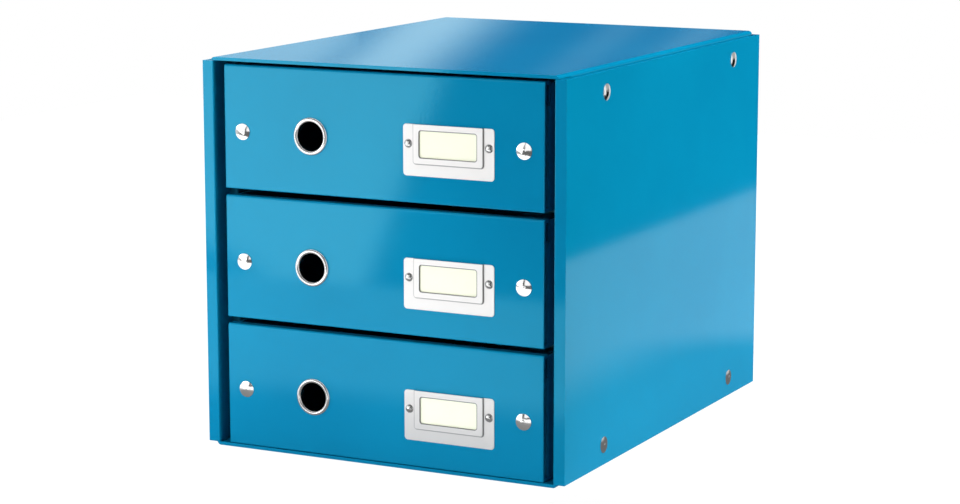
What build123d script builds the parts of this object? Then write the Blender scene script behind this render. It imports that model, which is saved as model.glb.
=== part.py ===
from build123d import *
import os

# Three-drawer desk unit of folded laminated board, held together by press studs.
# Millimetres, +Z up, drawers open towards -Y, origin on the floor under the middle of the case.

# Case
case_width = 284.0
case_depth = 357.0
case_height = 282.0
board = 2.4
fold_radius = 3.0
strip_fold = 1.6
strip_crease = 0.8
snap_gap = 3.8
return_depth = 20.0
panel_setback = 1.0
flap_height = 40.0
flap_taper = 10.0
crease = 0.6

# Inner walls and shelves
liner_board = 2.2
tab_length = 40.0
tab_inset = 45.0
tab_reach = 5.0

# Drawers
front_setback = 1.5
drawer_gap = 8.0
front_fold = 1.6
front_edge = 0.8
hem_depth = 16.0
wall_drop = 1.5
wall_flap_width = 32.0

# Press studs
stud_front = 64.5
stud_rear = 55.5
stud_edge = 14.5
drawer_stud_inset = 15.0
cap_radius = 5.8
cap_rise = 1.15
cap_rim = 0.45
shank_radius = 2.5
shank_reach = 1.0
socket_radius = 5.0
post_head_radius = 4.6
post_head = 1.4

# Drawer hardware, set out on one line above each drawer's lower edge
hardware_line = 41.0
ring_end = 70.5
ring_bore = 10.2
ring_outer = 13.4
ring_rise = 1.9
ring_wall = 0.8
ring_curl = 1.6
label_end = 37.2
label_width = 69.8
label_above = 13.6
label_below = 22.3
label_corner = 2.5
label_sheet = 0.6
pocket_width = 53.7
pocket_below = 13.9
pocket_depth = 1.2
pocket_corner = 2.0
pocket_edge = 0.4
window_width = 43.8
window_height = 18.4
window_corner = 1.6
rivet_spacing = 61.8
rivet_radius = 3.1
rivet_rise = 1.4
rivet_shank = 1.5
rivet_tail_radius = 2.4
rivet_tail = 0.7
card_thickness = 0.5
card_below_top = 1.0

# Clearances
panel_clearance = 0.2
flap_clearance = 0.5
rack_clearance = 0.3
tab_clearance = 0.1
hole_clearance = 0.05
slide_clearance = 0.3
guide_clearance = 1.4
head_clearance = 2.3
rear_clearance = 2.0
snap_clearance = 0.3
hem_clearance = 0.5
card_clearance = 0.35
card_seat = 0.2

# Places that follow from the sizes above
wall = 2 * board + snap_gap
x_out = case_width / 2
x_in = x_out - wall
x_flap = x_in + board
y_front = -case_depth / 2
y_back = case_depth / 2
side_bottom = board + panel_clearance
side_top = case_height - side_bottom
low_flap_corner = case_height - flap_height

drawer_width = 2 * (x_in - drawer_gap)
x_guide = drawer_width / 2 + guide_clearance
y_rack_front = y_front + return_depth + rack_clearance
y_rack_back = y_back - board - rack_clearance
y_flap_front = y_front + return_depth + flap_clearance
y_flap_back = y_back - board - flap_clearance
bay = (case_height - 2 * board - 2 * liner_board) / 3
bay_pitch = bay + liner_board
shelf_heights = [board + bay, board + bay + bay_pitch]
drawer_heights = [board + slide_clearance + count * bay_pitch for count in range(3)]
tab_places = [y_rack_front + tab_inset, y_rack_back - tab_inset]

side_stud_rows = (side_bottom + stud_edge, side_top - stud_edge)
side_stud_lines = (y_front + stud_front, y_back - stud_rear)
side_studs = [(y, z) for y in side_stud_lines for z in side_stud_rows]
top_studs = [(y, side_top - stud_edge) for y in side_stud_lines]

front_height = bay - slide_clearance - head_clearance
y_face = y_front + front_setback
y_wall_front = y_face + board + snap_gap
y_drawer_back = y_back - board - rear_clearance
x_wall = drawer_width / 2
drawer_stud_x = x_wall - drawer_stud_inset
ring_x = ring_end - x_wall
label_x = x_wall - label_end - label_width / 2
wall_height = front_height - wall_drop
flap_top = front_height - hem_depth - hem_clearance
stud_hole = shank_radius + hole_clearance
ring_hole = ring_bore + ring_wall + hole_clearance
rivet_hole = rivet_shank + hole_clearance

os.makedirs("parts", exist_ok=True)


def save(piece, name):
    piece.part.label = name
    export_step(piece.part, f"parts/{name}.step")


def seat(point, outward):
    """A drawing plane whose Y axis stands outward from a face at the point."""
    away = Vector(*outward)
    return Plane(origin=point, x_dir=away.cross(Vector(0, 0, 1)), z_dir=(0, 0, 1))


def axis_of(plane):
    return Axis(plane.origin, plane.y_dir)


# Press studs: cap outside, spring socket between the two boards, post through the flap
def press_studs(name, seats):
    socket_start = -board
    flap_face = socket_start - snap_gap
    flap_back = flap_face - board

    with BuildPart() as caps:
        for place in seats:
            with BuildSketch(place):
                with BuildLine():
                    crown = RadiusArc((0, cap_rise), (cap_radius, cap_rim), crown_radius)
                    Polyline(
                        crown @ 1,
                        (cap_radius, 0),
                        (shank_radius, 0),
                        (shank_radius, socket_start - shank_reach),
                        (0, socket_start - shank_reach),
                        crown @ 0,
                    )
                make_face()
            revolve(axis=axis_of(place))
    save(caps, f"{name}_caps")

    with BuildPart() as sockets:
        for place in seats:
            with BuildSketch(place):
                with Locations((stud_hole, socket_start)):
                    Rectangle(socket_radius - stud_hole, snap_gap, align=(Align.MIN, Align.MAX))
            revolve(axis=axis_of(place))
    save(sockets, f"{name}_sockets")

    with BuildPart() as posts:
        for place in seats:
            with BuildSketch(place):
                with BuildLine():
                    Polyline(
                        (0, socket_start - shank_reach - snap_clearance),
                        (shank_radius, socket_start - shank_reach - snap_clearance),
                        (shank_radius, flap_back),
                        (post_head_radius, flap_back),
                        (post_head_radius, flap_back - post_head),
                        (0, flap_back - post_head),
                        close=True,
                    )
                make_face()
            revolve(axis=axis_of(place))
    save(posts, f"{name}_posts")


crown_height = cap_rise - cap_rim
crown_radius = (cap_radius**2 + crown_height**2) / (2 * crown_height)

# Right side panel: outer board, front strip with its return, rear lip
with BuildPart() as right_side_panel:
    with BuildSketch(Plane.XY.offset(side_bottom)) as section:
        with Locations((x_out - wall / 2, 0)):
            Rectangle(wall, case_depth)
        inner_corner, outer_corner = section.vertices().group_by(Axis.Y)[0].sort_by(Axis.X)
        rear_corner = section.vertices().group_by(Axis.Y)[-1].sort_by(Axis.X)[-1]
        fillet(inner_corner, radius=strip_crease)
        fillet(outer_corner, radius=strip_fold)
        fillet(rear_corner, radius=fold_radius)
        with Locations((x_out - wall / 2, 0)):
            Rectangle(snap_gap, case_depth - 2 * board, mode=Mode.SUBTRACT)
        with Locations((x_in, y_front + return_depth)):
            Rectangle(
                board,
                case_depth - return_depth - board,
                align=(Align.MIN, Align.MIN),
                mode=Mode.SUBTRACT,
            )
    extrude(amount=side_top - side_bottom)
    with BuildSketch(Plane.YZ.offset(x_out)):
        with Locations(*side_studs):
            Circle(stud_hole)
    extrude(amount=-board, mode=Mode.SUBTRACT)
save(right_side_panel, "right_side_panel")

with BuildPart() as left_side_panel:
    mirror(right_side_panel.part, about=Plane.YZ)
save(left_side_panel, "left_side_panel")

# Top panel: a board with a tapered flap folded down at each side
with BuildPart() as top_panel:
    with BuildSketch(Plane.XZ.offset(-y_back)) as section:
        with Locations((0, case_height)):
            Rectangle(2 * x_flap, flap_height, align=(Align.CENTER, Align.MAX))
        fillet(section.vertices().group_by(Axis.Y)[-1], radius=fold_radius)
        with Locations((0, case_height - board)):
            Rectangle(
                2 * x_in,
                flap_height - board,
                align=(Align.CENTER, Align.MAX),
                mode=Mode.SUBTRACT,
            )
    extrude(amount=case_depth - panel_setback)
    fold_line = case_height - board
    for end, outward in ((y_flap_front, -1), (y_flap_back, 1)):
        beyond = end + outward * (return_depth + board)
        with BuildSketch(Plane.YZ):
            with BuildLine():
                Polyline(
                    (beyond, low_flap_corner),
                    (end - outward * flap_taper, low_flap_corner),
                    (end, low_flap_corner + flap_taper),
                    (end, fold_line),
                    (beyond, fold_line),
                    close=True,
                )
            make_face()
        extrude(amount=x_flap, both=True, mode=Mode.SUBTRACT)
    with BuildSketch(Plane.YZ):
        with Locations(*top_studs):
            Circle(stud_hole)
    extrude(amount=x_flap, both=True, mode=Mode.SUBTRACT)
save(top_panel, "top_panel")

# Base panel: the same blank turned over
with BuildPart() as base_panel:
    mirror(top_panel.part, about=Plane.XY.offset(case_height / 2))
save(base_panel, "base_panel")

# Back panel, with the crease lines where it meets the rear lips
with BuildPart() as back_panel:
    with BuildSketch(Plane.XZ.offset(-y_back)):
        with Locations((0, side_bottom)):
            Rectangle(2 * x_in, side_top - side_bottom, align=(Align.CENTER, Align.MIN))
    extrude(amount=board)
    rear_face = back_panel.faces().sort_by(Axis.Y)[-1]
    chamfer(rear_face.edges().filter_by(Axis.Z), length=crease)
save(back_panel, "back_panel")

# Right inner wall: guides the drawers, its front flange stands behind the return of the side
with BuildPart() as right_inner_wall:
    flange_reach = x_out - board - panel_clearance - x_guide
    with BuildSketch(Plane.XY.offset(board)) as section:
        with Locations((x_guide, y_rack_front)):
            Rectangle(
                flange_reach,
                y_rack_back - y_rack_front,
                align=(Align.MIN, Align.MIN),
            )
        folded = section.vertices().group_by(Axis.Y)[0].sort_by(Axis.X)[0]
        fillet(folded, radius=liner_board)
        with Locations((x_guide + liner_board, y_rack_front + liner_board)):
            Rectangle(
                flange_reach,
                y_rack_back - y_rack_front,
                align=(Align.MIN, Align.MIN),
                mode=Mode.SUBTRACT,
            )
    extrude(amount=case_height - 2 * board - panel_clearance)
    with BuildSketch(Plane.YZ.offset(x_guide)):
        with Locations(*[(y, z + liner_board / 2) for y in tab_places for z in shelf_heights]):
            Rectangle(tab_length + 2 * tab_clearance, liner_board + 2 * tab_clearance)
    extrude(amount=liner_board, mode=Mode.SUBTRACT)
    with BuildSketch(Plane.XZ.offset(-y_rack_front)):
        with Locations((x_guide + liner_board, 0), (x_guide + liner_board, low_flap_corner)):
            Rectangle(flange_reach, flap_height, align=(Align.MIN, Align.MIN))
    extrude(amount=-liner_board, mode=Mode.SUBTRACT)
save(right_inner_wall, "right_inner_wall")

with BuildPart() as left_inner_wall:
    mirror(right_inner_wall.part, about=Plane.YZ)
save(left_inner_wall, "left_inner_wall")

# Shelves, with two tabs a side through the slots of the inner walls
for shelf_name, height in zip(("lower_shelf", "upper_shelf"), shelf_heights):
    with BuildPart() as shelf:
        with BuildSketch(Plane.XY.offset(height)):
            with Locations((0, (y_rack_front + y_rack_back) / 2)):
                Rectangle(2 * x_guide, y_rack_back - y_rack_front)
            with Locations(*[(0, y) for y in tab_places]):
                Rectangle(2 * (x_guide + tab_reach), tab_length)
        extrude(amount=liner_board)
    save(shelf, shelf_name)

press_studs("right_stud", [seat((x_out, y, z), (1, 0, 0)) for y, z in side_studs])
press_studs("left_stud", [seat((-x_out, y, z), (-1, 0, 0)) for y, z in side_studs])


# Drawer front: board, rolled-over top edge and hem, with the holes for its hardware
def drawer_front(name, floor):
    line = floor + hardware_line
    with BuildPart() as front:
        with BuildSketch(Plane.YZ.offset(-x_wall)) as section:
            with Locations((y_face, floor)):
                Rectangle(wall, front_height, align=(Align.MIN, Align.MIN))
            fillet(section.vertices().group_by(Axis.Y)[-1], radius=front_fold)
            with Locations((y_face + board, floor)):
                Rectangle(
                    snap_gap,
                    front_height - board,
                    align=(Align.MIN, Align.MIN),
                    mode=Mode.SUBTRACT,
                )
            with Locations((y_face + board + snap_gap, floor)):
                Rectangle(
                    board,
                    front_height - hem_depth,
                    align=(Align.MIN, Align.MIN),
                    mode=Mode.SUBTRACT,
                )
        extrude(amount=drawer_width)
        with BuildSketch(Plane.XZ.offset(-y_face)):
            with Locations((-drawer_stud_x, line), (drawer_stud_x, line)):
                Circle(stud_hole)
            with Locations((ring_x, line)):
                Circle(ring_hole)
            with Locations((label_x, line)):
                with GridLocations(rivet_spacing, 0, 2, 1):
                    Circle(rivet_hole)
        extrude(amount=-board, mode=Mode.SUBTRACT)
        face_edges = front.faces().sort_by(Axis.Y)[0].outer_wire().edges()
        lower_edge = face_edges.filter_by(Axis.X).sort_by(Axis.Z)[0]
        fillet([*face_edges.filter_by(Axis.Z), lower_edge], radius=front_edge)
    save(front, name)


# Drawer box: bottom board, two walls with flaps turned in, back wall
def drawer_box(name, floor):
    inside = floor + board
    y_wall_back = y_drawer_back - board
    wall_top = floor + wall_height
    x_flap_end = x_wall - wall_flap_width

    with BuildPart() as bottom:
        with BuildSketch(Plane.XY.offset(floor)):
            with Locations((0, y_face + board)):
                Rectangle(
                    drawer_width,
                    y_drawer_back - y_face - board,
                    align=(Align.CENTER, Align.MIN),
                )
        extrude(amount=board)
    save(bottom, f"{name}_bottom")

    with BuildPart() as right_wall:
        with BuildSketch(Plane.XY.offset(inside)) as section:
            with Locations((x_wall, y_wall_front)):
                Rectangle(
                    wall_flap_width,
                    y_wall_back - y_wall_front,
                    align=(Align.MAX, Align.MIN),
                )
            fillet(section.vertices().group_by(Axis.X)[-1], radius=fold_radius)
            with Locations((x_wall - board, y_wall_front + board)):
                Rectangle(
                    wall_flap_width,
                    y_wall_back - y_wall_front - 2 * board,
                    align=(Align.MAX, Align.MIN),
                    mode=Mode.SUBTRACT,
                )
        extrude(amount=wall_top - inside)
        with BuildSketch(Plane.XZ.offset(-y_wall_front)):
            with BuildLine():
                Polyline(
                    (x_flap_end, wall_top),
                    (x_wall, wall_top),
                    (x_wall, floor + flap_top),
                    (x_flap_end + flap_taper, floor + flap_top),
                    (x_flap_end, floor + flap_top - flap_taper),
                    close=True,
                )
            make_face()
            with Locations((drawer_stud_x, floor + hardware_line)):
                Circle(stud_hole)
        extrude(amount=-board - hem_clearance, mode=Mode.SUBTRACT)
        with BuildSketch(Plane.XZ.offset(-y_wall_back)):
            with BuildLine():
                Polyline(
                    (x_flap_end, wall_top),
                    (x_flap_end + flap_taper, wall_top),
                    (x_flap_end, wall_top - flap_taper),
                    close=True,
                )
            make_face()
        extrude(amount=board, mode=Mode.SUBTRACT)
    save(right_wall, f"{name}_right_wall")

    with BuildPart() as left_wall:
        mirror(right_wall.part, about=Plane.YZ)
    save(left_wall, f"{name}_left_wall")

    with BuildPart() as back_wall:
        with BuildSketch(Plane.XZ.offset(-y_drawer_back)):
            with Locations((0, inside)):
                Rectangle(drawer_width, wall_top - inside, align=(Align.CENTER, Align.MIN))
        extrude(amount=board)
    save(back_wall, f"{name}_back_wall")


# Finger ring: a polished eyelet through the front, its barrel rolled over behind the board
def finger_ring(name, floor):
    place = seat((ring_x, y_face, floor + hardware_line), (0, -1, 0))
    barrel = ring_bore + ring_wall
    with BuildPart() as ring:
        with BuildSketch(place):
            with BuildLine():
                bore = Line((ring_bore, -board - ring_wall), (ring_bore, ring_rise / 3))
                top = ((ring_bore + ring_outer) / 2, ring_rise)
                lip = ThreePointArc(bore @ 1, top, (ring_outer, ring_rise / 3))
                Polyline(
                    lip @ 1,
                    (ring_outer, 0),
                    (barrel, 0),
                    (barrel, -board),
                    (barrel + ring_curl, -board),
                    (barrel + ring_curl, -board - ring_wall),
                    bore @ 0,
                )
            make_face()
        revolve(axis=axis_of(place))
    save(ring, f"{name}_finger_ring")


# Label holder: a pressed plate whose raised pocket is open at the top, held by two rivets
def label(name, floor):
    line = floor + hardware_line
    face = Plane((label_x, y_face, line), x_dir=(1, 0, 0), z_dir=(0, -1, 0))
    rivet_x = rivet_spacing / 2
    cavity_width = pocket_width - 2 * label_sheet
    cavity_below = pocket_below - label_sheet

    with BuildPart() as holder:
        with BuildSketch(face):
            with Locations((0, (label_above - label_below) / 2)):
                RectangleRounded(label_width, label_above + label_below, label_corner)
        extrude(amount=label_sheet)
        with BuildSketch(face) as pad:
            with Locations((0, label_above)):
                Rectangle(
                    pocket_width, label_above + pocket_below, align=(Align.CENTER, Align.MAX)
                )
            fillet(pad.vertices().group_by(Axis.Y)[0], radius=pocket_corner)
        extrude(amount=pocket_depth + label_sheet)
        raised = holder.faces().sort_by(Axis.Y)[0].edges()
        fillet(raised - raised.filter_by(Axis.X).sort_by(Axis.Z)[-1:], radius=pocket_edge)
        with BuildSketch(face) as cavity:
            with Locations((0, label_above)):
                Rectangle(
                    cavity_width, label_above + cavity_below, align=(Align.CENTER, Align.MAX)
                )
            fillet(cavity.vertices().group_by(Axis.Y)[0], radius=pocket_corner - label_sheet)
        extrude(amount=pocket_depth, mode=Mode.SUBTRACT)
        with BuildSketch(face):
            RectangleRounded(window_width, window_height, window_corner)
            with Locations((-rivet_x, 0), (rivet_x, 0)):
                Circle(rivet_hole)
        extrude(amount=pocket_depth + label_sheet, mode=Mode.SUBTRACT)
    save(holder, f"{name}_drawer_label_holder")

    with BuildPart() as rivets:
        for side in (-rivet_x, rivet_x):
            place = seat((label_x + side, y_face, line), (0, -1, 0))
            with BuildSketch(place):
                with BuildLine():
                    top = label_sheet + rivet_rise
                    dome = RadiusArc((0, top), (rivet_radius, label_sheet), rivet_crown)
                    Polyline(
                        dome @ 1,
                        (rivet_shank, label_sheet),
                        (rivet_shank, -board),
                        (rivet_tail_radius, -board),
                        (rivet_tail_radius, -board - rivet_tail),
                        (0, -board - rivet_tail),
                        dome @ 0,
                    )
                make_face()
            revolve(axis=axis_of(place))
    save(rivets, f"{name}_drawer_label_rivets")

    with BuildPart() as card:
        with BuildSketch(face.offset(card_clearance)) as blank:
            with Locations((0, label_above - card_below_top)):
                Rectangle(
                    cavity_width - 2 * card_clearance,
                    label_above - card_below_top + cavity_below - card_seat,
                    align=(Align.CENTER, Align.MAX),
                )
            fillet(blank.vertices().group_by(Axis.Y)[0], radius=pocket_corner - label_sheet)
        extrude(amount=card_thickness)
    save(card, f"{name}_label_card")


rivet_crown = (rivet_radius**2 + rivet_rise**2) / (2 * rivet_rise)

for level, floor in zip(("lower", "middle", "upper"), drawer_heights):
    drawer = f"{level}_drawer"
    line = floor + hardware_line
    drawer_front(f"{drawer}_front", floor)
    drawer_box(drawer, floor)
    finger_ring(drawer, floor)
    label(level, floor)
    stud_seats = [seat((x, y_face, line), (0, -1, 0)) for x in (-drawer_stud_x, drawer_stud_x)]
    press_studs(f"{drawer}_stud", stud_seats)
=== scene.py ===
"""Looks of a desk drawer unit: laminated board, polished studs and rings, pressed label holders."""

import math

import bpy
from mathutils import Matrix, Vector


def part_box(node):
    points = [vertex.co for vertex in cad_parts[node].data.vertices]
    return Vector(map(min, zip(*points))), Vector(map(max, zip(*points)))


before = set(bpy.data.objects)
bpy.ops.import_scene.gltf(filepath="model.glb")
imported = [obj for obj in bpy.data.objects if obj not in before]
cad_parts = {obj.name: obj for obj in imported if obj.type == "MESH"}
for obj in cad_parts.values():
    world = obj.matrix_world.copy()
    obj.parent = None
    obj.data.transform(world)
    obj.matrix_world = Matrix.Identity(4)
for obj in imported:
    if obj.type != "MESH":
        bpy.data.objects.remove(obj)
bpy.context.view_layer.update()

MM = 0.001
WHITE = (1, 1, 1)

# Camera, at the photograph's viewing angle
IMAGE_WIDTH = 960
SENSOR_WIDTH = 36
FOCAL_PIXELS = 2631.7
CAMERA_AZIMUTH = math.radians(26.717)
CAMERA_ELEVATION = math.radians(10.14)
CAMERA_DISTANCE = 1.9811
CAMERA_RIGHT = -0.01072
CAMERA_UP = -0.01646
CAMERA_CLIP = (0.05, 50)
LOOKED_AT = Vector((0, 0, 0.141))

# World: white backdrop, a little fill, and the room that glossy surfaces mirror
BACKDROP_GLOW = 1.0
AMBIENT_GLOW = 0.03
MIRRORED_FRONT = 0.13
MIRRORED_BACK = 0.006
MIRRORED_SIDES = 0.55
FRONT_TO_BACK = (-0.3, 0.3)
MIDDLE_TO_SIDES = (0.55, 0.85)

# Table: a white L that ends a little beyond the object, with a painted shade close to it and a
# painted glow in front of it, both seen in reflections
TABLE_LOW = (-1.4, -0.76)
TABLE_HIGH = (0.505, 1.6)
TABLE_NOTCH = (0.145, -0.185)
TABLE_COLOUR = (0.76, 0.8, 0.86, 1)
TABLE_GLOW = 1.08
TABLE_GLOW_SHARE = 0.9
SHADE_HALF_SIZE = (0.142, 0.23, 0)
SHADE_FADE = (0.08, 0.18)
SHADE_GLOW = (0.25, 1)
FORWARD_FADE = (-0.1, -0.4)
FORWARD_GLOW = (0.6, 1.45)

# Lights behind the object: bands that the top mirrors, and panels that the side's caps mirror
BACK_PLANE = 2.5
BAND_MIDDLE = 0.55
BAND_HEIGHT = 0.9
BAND_LEAN = 1.3
BAND_TINT = (0.93, 1.15, 1.05)
BANDS_START = -2.6
CAPS_TOP = 0.5

# Light at the left front, with a leaning edge that the fronts mirror
LEFT_EDGE_TILT = 22
LEFT_EDGE_POINT = Vector((-0.782, -1.6, -0.117))
LEFT_EDGE_BELOW = 0.131
LEFT_WIDTH = 2

# Laminate: a printed blue film with patches of tone and a fine pebbled grain
FILM_BLUES = ((0.0006, 0.19, 0.345), (0.0009, 0.214, 0.378))
FILM_BLUE_ENDS = (0.3, 0.7)
FILM_PATCHES = 9
FILM_PATCH_DETAIL = 4
FILM_PEBBLES = 800
FILM_SPECULAR = 0.56
FILM_TINT = (0.28, 0.97, 1, 1)
OUTSIDE_ROUGHNESS = 0.055
OUTSIDE_GRAIN = 0.011 * MM
INSIDE_ROUGHNESS = 0.45
INSIDE_GRAIN = 0.015 * MM
# The rack's board is darkened to paint the shade that fills the gaps between the drawers
RACK_PAINTED_SHADE = 0.15

# Metal and card
WEAR_SCALE = 400
WEAR_SPREAD = (0.8, 1.2)
SHEET_METALLIC = 0.55
FIBRE_SCALE = 900
CARD_TONES = ((0.93, 0.9, 0.67, 1), (0.97, 0.95, 0.73, 1))
CARD_ROUGHNESS = 0.65

# Label holders: window and pocket, with painted shade lines along the window's edge and the pocket's
# outline, and the pocket's open end carried on above the plate
LABEL_ABOVE = 13.6 * MM
WINDOW_SIZE = (43.8 * MM, 18.4 * MM)
WINDOW_CORNER = 1.6 * MM
WINDOW_SHADE_LINE = 0.95 * MM
POCKET_BELOW = 13.9 * MM
POCKET_SIZE = (53.7 * MM, 37.5 * MM)
POCKET_CORNER = 2 * MM
POCKET_SHADE_LINE = 0.75 * MM
POCKET_SHADE_DEPTH = 0.7

# Edges rounded by modifiers
WELD_DISTANCE = 0.005 * MM
FLAT_ANGLE = math.radians(0.5)
SHARP_ANGLE = math.radians(35)
EDGE_SEGMENTS = 3
BOARD_EDGE = 0.2 * MM
HOLDER_EDGE = 0.28 * MM


def arithmetic(nodes, links, operation, *values):
    """One step of arithmetic on values that are numbers or sockets."""
    step = nodes.new("ShaderNodeMath")
    step.operation = operation
    for number, value in enumerate(values):
        if isinstance(value, bpy.types.NodeSocket):
            links.new(value, step.inputs[number])
        else:
            step.inputs[number].default_value = value
    return step.outputs[0]


def vector_steps(nodes, links, vector, steps):
    """Takes a vector through steps, each an operation with its settings."""
    for operation, *settings in steps:
        step = nodes.new("ShaderNodeVectorMath")
        step.operation = operation
        links.new(vector, step.inputs[0])
        for number, setting in enumerate(settings):
            step.inputs[number + 1].default_value = setting
        vector = step.outputs["Value" if operation == "LENGTH" else "Vector"]
    return vector


def remap(nodes, links, value, old, new, smooth=False):
    """Maps a value from the range old to the range new, and holds it there."""
    step = nodes.new("ShaderNodeMapRange")
    if smooth:
        step.interpolation_type = "SMOOTHSTEP"
    ends = ("From Min", "From Max", "To Min", "To Max")
    for end, setting in zip(ends, (*old, *new)):
        step.inputs[end].default_value = setting
    links.new(value, step.inputs["Value"])
    return step.outputs["Result"]


def two_tones(nodes, links, factor, tones, ends=(0, 1)):
    """A colour between two tones."""
    ramp = nodes.new("ShaderNodeValToRGB")
    for element, end, tone in zip(ramp.color_ramp.elements, ends, tones):
        element.position = end
        element.color = tone
    links.new(factor, ramp.inputs["Fac"])
    return ramp.outputs["Color"]


def noise(nodes, links, scale):
    """Noise that stays in place on the object."""
    place = nodes.new("ShaderNodeTexCoord")
    texture = nodes.new("ShaderNodeTexNoise")
    texture.inputs["Scale"].default_value = scale
    links.new(place.outputs["Object"], texture.inputs["Vector"])
    return texture


def mix_shaders(nodes, links, factor, first, second):
    """The first shader where factor is zero, the second where it is one."""
    mix = nodes.new("ShaderNodeMixShader")
    links.new(factor, mix.inputs[0])
    links.new(first.outputs[0], mix.inputs[1])
    links.new(second.outputs[0], mix.inputs[2])
    return mix


def make_camera():
    """Makes the camera that sees the object as the photograph does."""
    level = math.cos(CAMERA_ELEVATION)
    back = Vector((
        math.sin(CAMERA_AZIMUTH) * level,
        -math.cos(CAMERA_AZIMUTH) * level,
        math.sin(CAMERA_ELEVATION),
    ))
    right = Vector((math.cos(CAMERA_AZIMUTH), math.sin(CAMERA_AZIMUTH), 0))
    up = back.cross(right)
    data = bpy.data.cameras.new("camera")
    data.sensor_width = SENSOR_WIDTH
    data.lens = FOCAL_PIXELS * SENSOR_WIDTH / IMAGE_WIDTH
    data.clip_start, data.clip_end = CAMERA_CLIP
    camera = bpy.data.objects.new("camera", data)
    bpy.context.scene.collection.objects.link(camera)
    camera.location = LOOKED_AT + back * CAMERA_DISTANCE + right * CAMERA_RIGHT + up * CAMERA_UP
    camera.rotation_euler = (-back).to_track_quat("-Z", "Y").to_euler()
    bpy.context.scene.camera = camera


def make_world():
    """White behind the object, soft fill on it, and a dim room in its reflections."""
    world = bpy.data.worlds.new("studio")
    bpy.context.scene.world = world
    world.use_nodes = True
    nodes = world.node_tree.nodes
    links = world.node_tree.links
    nodes.clear()
    direction = nodes.new("ShaderNodeTexCoord")
    split = nodes.new("ShaderNodeSeparateXYZ")
    links.new(direction.outputs["Generated"], split.inputs[0])
    room = remap(nodes, links, split.outputs["Y"], FRONT_TO_BACK, (MIRRORED_FRONT, MIRRORED_BACK))
    sideways = arithmetic(nodes, links, "ABSOLUTE", split.outputs["X"])
    walls = remap(nodes, links, sideways, MIDDLE_TO_SIDES, (0, MIRRORED_SIDES), smooth=True)
    backdrop = nodes.new("ShaderNodeBackground")
    backdrop.inputs["Strength"].default_value = BACKDROP_GLOW
    ambient = nodes.new("ShaderNodeBackground")
    ambient.inputs["Strength"].default_value = AMBIENT_GLOW
    mirrored = nodes.new("ShaderNodeBackground")
    links.new(arithmetic(nodes, links, "ADD", room, walls), mirrored.inputs["Strength"])
    for background in (backdrop, ambient, mirrored):
        background.inputs["Color"].default_value = (*WHITE, 1)
    path = nodes.new("ShaderNodeLightPath")
    indirect = mix_shaders(nodes, links, path.outputs["Is Glossy Ray"], ambient, mirrored)
    seen = mix_shaders(nodes, links, path.outputs["Is Camera Ray"], indirect, backdrop)
    output = nodes.new("ShaderNodeOutputWorld")
    links.new(seen.outputs[0], output.inputs["Surface"])


def make_table():
    """The plain white table: a painted glow where the object mirrors it, dimmed by a painted shade
    close to it.
    """
    mesh = bpy.data.meshes.new("table")
    corners = [
        (TABLE_LOW[0], TABLE_LOW[1], 0),
        (TABLE_NOTCH[0], TABLE_LOW[1], 0),
        (TABLE_NOTCH[0], TABLE_NOTCH[1], 0),
        (TABLE_HIGH[0], TABLE_NOTCH[1], 0),
        (TABLE_HIGH[0], TABLE_HIGH[1], 0),
        (TABLE_LOW[0], TABLE_HIGH[1], 0),
    ]
    mesh.from_pydata(corners, [], [range(len(corners))])
    table = bpy.data.objects.new("table", mesh)
    bpy.context.scene.collection.objects.link(table)
    mesh.materials.append(table_white())


def table_white():
    """White that looks even from the camera; in reflections it is a painted glow whose painted shade
    falls off near the object.
    """
    material = bpy.data.materials.new("table_white")
    material.use_nodes = True
    nodes = material.node_tree.nodes
    links = material.node_tree.links
    nodes.clear()
    place = nodes.new("ShaderNodeTexCoord")
    distance = vector_steps(nodes, links, place.outputs["Object"], (
        ("ABSOLUTE",),
        ("SUBTRACT", SHADE_HALF_SIZE),
        ("MAXIMUM", (0, 0, 0)),
        ("LENGTH",),
    ))
    # Painted shade and painted light in reflections: the glow dims close to the object and rises
    # forward of it
    shade = remap(nodes, links, distance, SHADE_FADE, SHADE_GLOW, smooth=True)
    split = nodes.new("ShaderNodeSeparateXYZ")
    links.new(place.outputs["Object"], split.inputs[0])
    forward = remap(nodes, links, split.outputs["Y"], FORWARD_FADE, FORWARD_GLOW)
    mirrored = nodes.new("ShaderNodeEmission")
    links.new(arithmetic(nodes, links, "MULTIPLY", shade, forward), mirrored.inputs["Strength"])
    lit = nodes.new("ShaderNodeBsdfDiffuse")
    lit.inputs["Color"].default_value = TABLE_COLOUR
    plain = nodes.new("ShaderNodeEmission")
    plain.inputs["Strength"].default_value = TABLE_GLOW
    path = nodes.new("ShaderNodeLightPath")
    indirect = mix_shaders(nodes, links, path.outputs["Is Glossy Ray"], lit, mirrored)
    mostly = arithmetic(nodes, links, "MULTIPLY", path.outputs["Is Camera Ray"], TABLE_GLOW_SHARE)
    seen = mix_shaders(nodes, links, mostly, indirect, plain)
    output = nodes.new("ShaderNodeOutputMaterial")
    links.new(seen.outputs[0], output.inputs["Surface"])
    return material


def softbox(name, centre, target, size, glow, roll=0.0, tint=WHITE, lights=True, mirrored=True):
    """A rectangular light at centre that faces target, unseen by the camera.

    Without lights it only shows in reflections. Without mirrored it shows in none of them.
    """
    width, height = size
    data = bpy.data.lights.new(name, "AREA")
    data.shape = "RECTANGLE"
    data.size = width
    data.size_y = height
    data.energy = glow * width * height * math.pi
    data.color = tint
    light = bpy.data.objects.new(name, data)
    bpy.context.scene.collection.objects.link(light)
    facing = (Vector(target) - Vector(centre)).to_track_quat("-Z", "Y").to_matrix().to_4x4()
    turned = facing @ Matrix.Rotation(math.radians(roll), 4, "Z")
    light.matrix_world = Matrix.Translation(centre) @ turned
    light.visible_camera = False
    light.visible_diffuse = lights
    light.visible_glossy = mirrored


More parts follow.
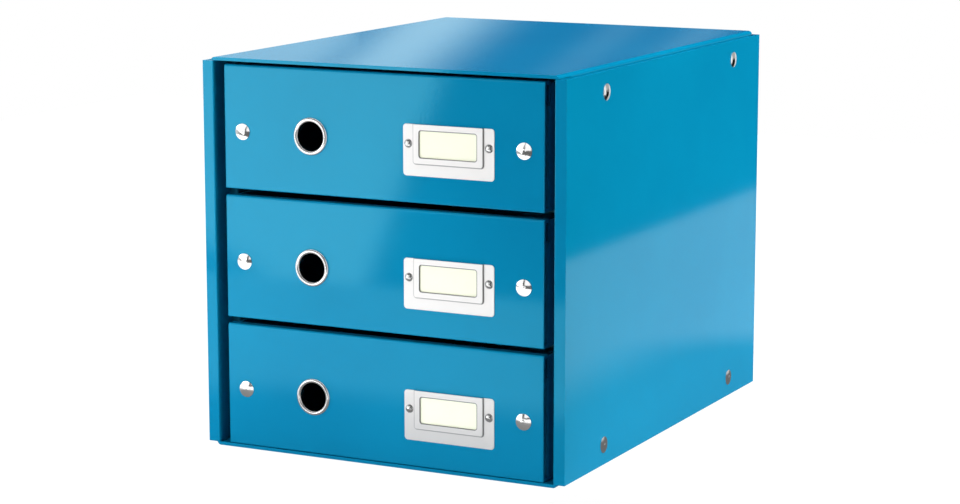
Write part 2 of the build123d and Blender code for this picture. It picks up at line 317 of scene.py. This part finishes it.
def room_lights():
    """Soft lights above and round the object, with dimmer ones that stand for them in reflections."""
    above = (-0.2, 0.55, 0)
    middle = (0, 0, 0.14)
    softbox(
        "overhead", (-0.2, 0.55, 2.2), above, (3.4, 2.3), 3.4, tint=(0.92, 1, 1.12), mirrored=False
    )
    softbox("overhead_edges", (-0.2, 0.55, 2.1), above, (3.4, 2.3), 1.2, lights=False)
    softbox(
        "front_fill", (-0.3, -2.1, 0.68), (-0.3, 0, 0.68), (0.6, 1.65), 10.2,
        tint=(0.95, 1, 1.06), mirrored=False,
    )
    softbox("front_caps", (-0.3, -2, 0.75), (-0.3, 0, 0.75), (0.6, 1.4), 0.95, lights=False)
    softbox(
        "right_fill", (1.9, 0.5, 0.85), (0, 0.3, 0.3), (2.4, 1.6), 5.45,
        tint=(1, 1, 0.94), mirrored=False,
    )
    softbox("left_fill", (-1.9, 0.4, 0.9), middle, (1.6, 1.6), 3.6, mirrored=False)
    softbox("back_fill", (0.2, 2.2, 2.2), middle, (1.6, 1), 3.6, mirrored=False)


def right_caps():
    """Panels behind the object, which the caps on its right side mirror and the board doesn't."""
    for name, x, width, low, glow in (
        ("right_caps_near", 0.45, 0.6, -0.4, 0.8),
        ("right_caps_middle", 1.375, 1.25, 0.1, 0.4),
        ("right_caps_far", 2.375, 0.75, -0.4, 0.8),
    ):
        height = CAPS_TOP - low
        level = low + height / 2
        softbox(name, (x, BACK_PLANE, level), (x, 0, level), (width, height), glow, lights=False)


def left_front():
    """The light at the left front: bright below, where the fronts mirror it, and dimmer above."""
    tilt = math.radians(LEFT_EDGE_TILT)
    along = Vector((math.sin(tilt), 0, math.cos(tilt)))
    inward = Vector((-along.z, 0, along.x))
    corner = LEFT_EDGE_POINT - along * LEFT_EDGE_BELOW
    for name, start, height, glow in (
        ("left_front_low", 0, 0.4, 2.65),
        ("left_front_high", 0.4, 0.8, 1),
    ):
        centre = corner + along * (start + height / 2) + inward * LEFT_WIDTH / 2
        ahead = centre + Vector((0, 1, 0))
        softbox(name, centre, ahead, (LEFT_WIDTH, height), glow, -LEFT_EDGE_TILT)


def back_strips():
    """Leaning strips of light behind the object, which the top mirrors as soft bands."""
    slant = math.hypot(BAND_LEAN, 1)
    roll = -math.degrees(math.atan(BAND_LEAN))
    low = BANDS_START
    for number, (high, glow) in enumerate((
        (-1.54, 0.47),
        (-1.46, 0.26),
        (-1.34, 0.56),
        (-1.30, 0.38),
        (-1.26, 0.2),
        (-1.22, 0.06),
        (-1.07, 0.005),
        (-1.00, 0.09),
        (-0.93, 0.02),
        (-0.90, 0.04),
        (-0.84, 0.16),
    )):
        centre = Vector(((low + high) / 2, BACK_PLANE, BAND_MIDDLE))
        ahead = centre - Vector((0, 1, 0))
        size = ((high - low) / slant, BAND_HEIGHT)
        softbox(f"back_strip_{number}", centre, ahead, size, glow, roll, BAND_TINT)
        low = high


def make_studio():
    """All the lights, each named after what it lights or what mirrors it."""
    room_lights()
    right_caps()
    softbox(
        "back_sky", (-1.4, 2.6, BAND_MIDDLE), (-1.4, 0, BAND_MIDDLE), (2.6, BAND_HEIGHT), 0.12,
        tint=(0.05, 0.55, 1.8), lights=False,
    )
    left_front()
    back_strips()


def start_material(name):
    """A new material with its nodes, links and shader."""
    material = bpy.data.materials.new(name)
    material.use_nodes = True
    tree = material.node_tree
    return material, tree.nodes, tree.links, tree.nodes["Principled BSDF"]


def laminate(name, roughness, grain_depth, shade=1.0):
    """Printed film on board, with a fine pebbled grain."""
    material, nodes, links, shader = start_material(name)
    patches = noise(nodes, links, FILM_PATCHES)
    patches.inputs["Detail"].default_value = FILM_PATCH_DETAIL
    tones = [(*(part * shade for part in blue), 1) for blue in FILM_BLUES]
    colour = two_tones(nodes, links, patches.outputs["Fac"], tones, FILM_BLUE_ENDS)
    links.new(colour, shader.inputs["Base Color"])
    place = nodes.new("ShaderNodeTexCoord")
    pebble = nodes.new("ShaderNodeTexVoronoi")
    pebble.feature = "SMOOTH_F1"
    pebble.inputs["Scale"].default_value = FILM_PEBBLES
    links.new(place.outputs["Object"], pebble.inputs["Vector"])
    bump = nodes.new("ShaderNodeBump")
    bump.inputs["Strength"].default_value = 1
    bump.inputs["Distance"].default_value = grain_depth
    links.new(pebble.outputs["Distance"], bump.inputs["Height"])
    links.new(bump.outputs["Normal"], shader.inputs["Normal"])
    shader.inputs["Roughness"].default_value = roughness
    shader.inputs["Specular IOR Level"].default_value = FILM_SPECULAR
    shader.inputs["Specular Tint"].default_value = FILM_TINT
    return material


def grey(level):
    """A neutral colour."""
    return (level, level, level, 1)


def metal(name, colour, roughness):
    """Plated steel, slightly uneven in its polish."""
    material, nodes, links, shader = start_material(name)
    shader.inputs["Base Color"].default_value = colour
    shader.inputs["Metallic"].default_value = 1
    wear = noise(nodes, links, WEAR_SCALE)
    ends = [roughness * share for share in WEAR_SPREAD]
    spread = remap(nodes, links, wear.outputs["Fac"], (0, 1), ends)
    links.new(spread, shader.inputs["Roughness"])
    return material


def shade_line_mask(nodes, links, centre, pitch, size, radius, reach):
    """Mask of a painted shade line along a rounded rectangle that is repeated up the drawers, fading
    to nothing at reach.
    """
    place = nodes.new("ShaderNodeTexCoord")
    length = vector_steps(nodes, links, place.outputs["Object"], (
        ("SUBTRACT", centre),
        ("WRAP", (1, 1, pitch / 2), (-1, -1, -pitch / 2)),
        ("ABSOLUTE",),
        ("SUBTRACT", (size[0] / 2 - radius, 1, size[1] / 2 - radius)),
        ("MAXIMUM", (0, 0, 0)),
        ("LENGTH",),
    ))
    apart = arithmetic(nodes, links, "SUBTRACT", length, radius)
    either_way = arithmetic(nodes, links, "ABSOLUTE", apart)
    return remap(nodes, links, either_way, (0, reach), (1, 0), smooth=True)


def pressed_sheet(name, colour, shade_colour, roughness):
    """Satin plated sheet, with painted shade as dark lines along the window's cut edge and the
    pocket's drawn outline.
    """
    material = metal(name, colour, roughness)
    nodes = material.node_tree.nodes
    links = material.node_tree.links
    shader = nodes["Principled BSDF"]
    low, high = (Vector(corner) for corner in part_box("lower_drawer_label_holder"))
    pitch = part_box("middle_drawer_label_holder")[0][2] - low.z
    middle = (low.x + high.x) / 2
    line = high.z - LABEL_ABOVE
    # Painted shade: the window's edge and, more faintly, the pocket's outline are darkened towards
    # the dark tone
    window = shade_line_mask(
        nodes, links, (middle, 0, line), pitch, WINDOW_SIZE, WINDOW_CORNER, WINDOW_SHADE_LINE
    )
    pocket_middle = line - POCKET_BELOW + POCKET_SIZE[1] / 2
    pocket = shade_line_mask(
        nodes, links, (middle, 0, pocket_middle), pitch, POCKET_SIZE, POCKET_CORNER, POCKET_SHADE_LINE
    )
    faint_pocket_shade = arithmetic(nodes, links, "MULTIPLY", pocket, POCKET_SHADE_DEPTH)
    window_and_pocket_shade = arithmetic(nodes, links, "MAXIMUM", window, faint_pocket_shade)
    tone = two_tones(nodes, links, window_and_pocket_shade, (colour, shade_colour))
    links.new(tone, shader.inputs["Base Color"])
    shader.inputs["Metallic"].default_value = SHEET_METALLIC
    return material


def paper(name):
    """Off-white card."""
    material, nodes, links, shader = start_material(name)
    fibre = noise(nodes, links, FIBRE_SCALE)
    colour = two_tones(nodes, links, fibre.outputs["Fac"], CARD_TONES)
    links.new(colour, shader.inputs["Base Color"])
    shader.inputs["Roughness"].default_value = CARD_ROUGHNESS
    return material


def soften(node, width, clamped=True):
    """Rounds a piece's sharp edges, as film wraps round board or a press draws sheet."""
    weld = node.modifiers.new("weld", "WELD")
    weld.merge_threshold = WELD_DISTANCE
    flatten = node.modifiers.new("flat_faces", "DECIMATE")
    flatten.decimate_type = "DISSOLVE"
    flatten.angle_limit = FLAT_ANGLE
    bevel = node.modifiers.new("soft_edges", "BEVEL")
    bevel.width = width
    bevel.segments = EDGE_SEGMENTS
    bevel.limit_method = "ANGLE"
    bevel.angle_limit = SHARP_ANGLE
    bevel.use_clamp_overlap = clamped
    bevel.loop_slide = False
    normals = node.modifiers.new("even_faces", "WEIGHTED_NORMAL")
    normals.keep_sharp = False


def dress():
    """Gives every CAD node its finish."""
    outside = laminate("laminate", OUTSIDE_ROUGHNESS, OUTSIDE_GRAIN)
    inside = laminate("lining", INSIDE_ROUGHNESS, INSIDE_GRAIN)
    # The rack's darker film is painted shade for the gaps between the drawers
    rack = laminate("rack_painted_shade", INSIDE_ROUGHNESS, INSIDE_GRAIN, RACK_PAINTED_SHADE)
    chrome = metal("chrome", grey(0.92), 0.1)
    # The sheet's dark grey is the painted shade of its window and pocket lines
    nickel = pressed_sheet("satin_nickel", (0.83, 0.8, 0.77, 1), grey(0.03), 0.36)
    ring = metal("ring_steel", grey(0.9), 0.22)
    rivet = metal("rivet_steel", grey(0.8), 0.25)
    zinc = metal("zinc", (0.72, 0.73, 0.75, 1), 0.35)
    card = paper("card")
    inside_parts = ("_left_wall", "_right_wall", "_back_wall", "_bottom")
    rack_parts = ("_inner_wall", "_shelf")
    for name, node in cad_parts.items():
        slot = node.material_slots[0].material.name.split(".")[0]
        if slot == "laminated_board":
            finish = outside
            if name.endswith(inside_parts):
                finish = inside
            elif name.endswith(rack_parts):
                finish = rack
            soften(node, BOARD_EDGE)
        elif slot == "polished_steel":
            finish = chrome
            if "rivets" in name:
                finish = rivet
            elif "ring" in name:
                finish = ring
        elif slot == "satin_nickel":
            finish = nickel
            soften(node, HOLDER_EDGE, False)
        elif slot == "zinc_plated_steel":
            finish = zinc
        else:
            finish = card
        node.material_slots[0].material = finish


bpy.context.scene.view_settings.view_transform = "Standard"
make_camera()
make_world()
make_table()
make_studio()
dress()
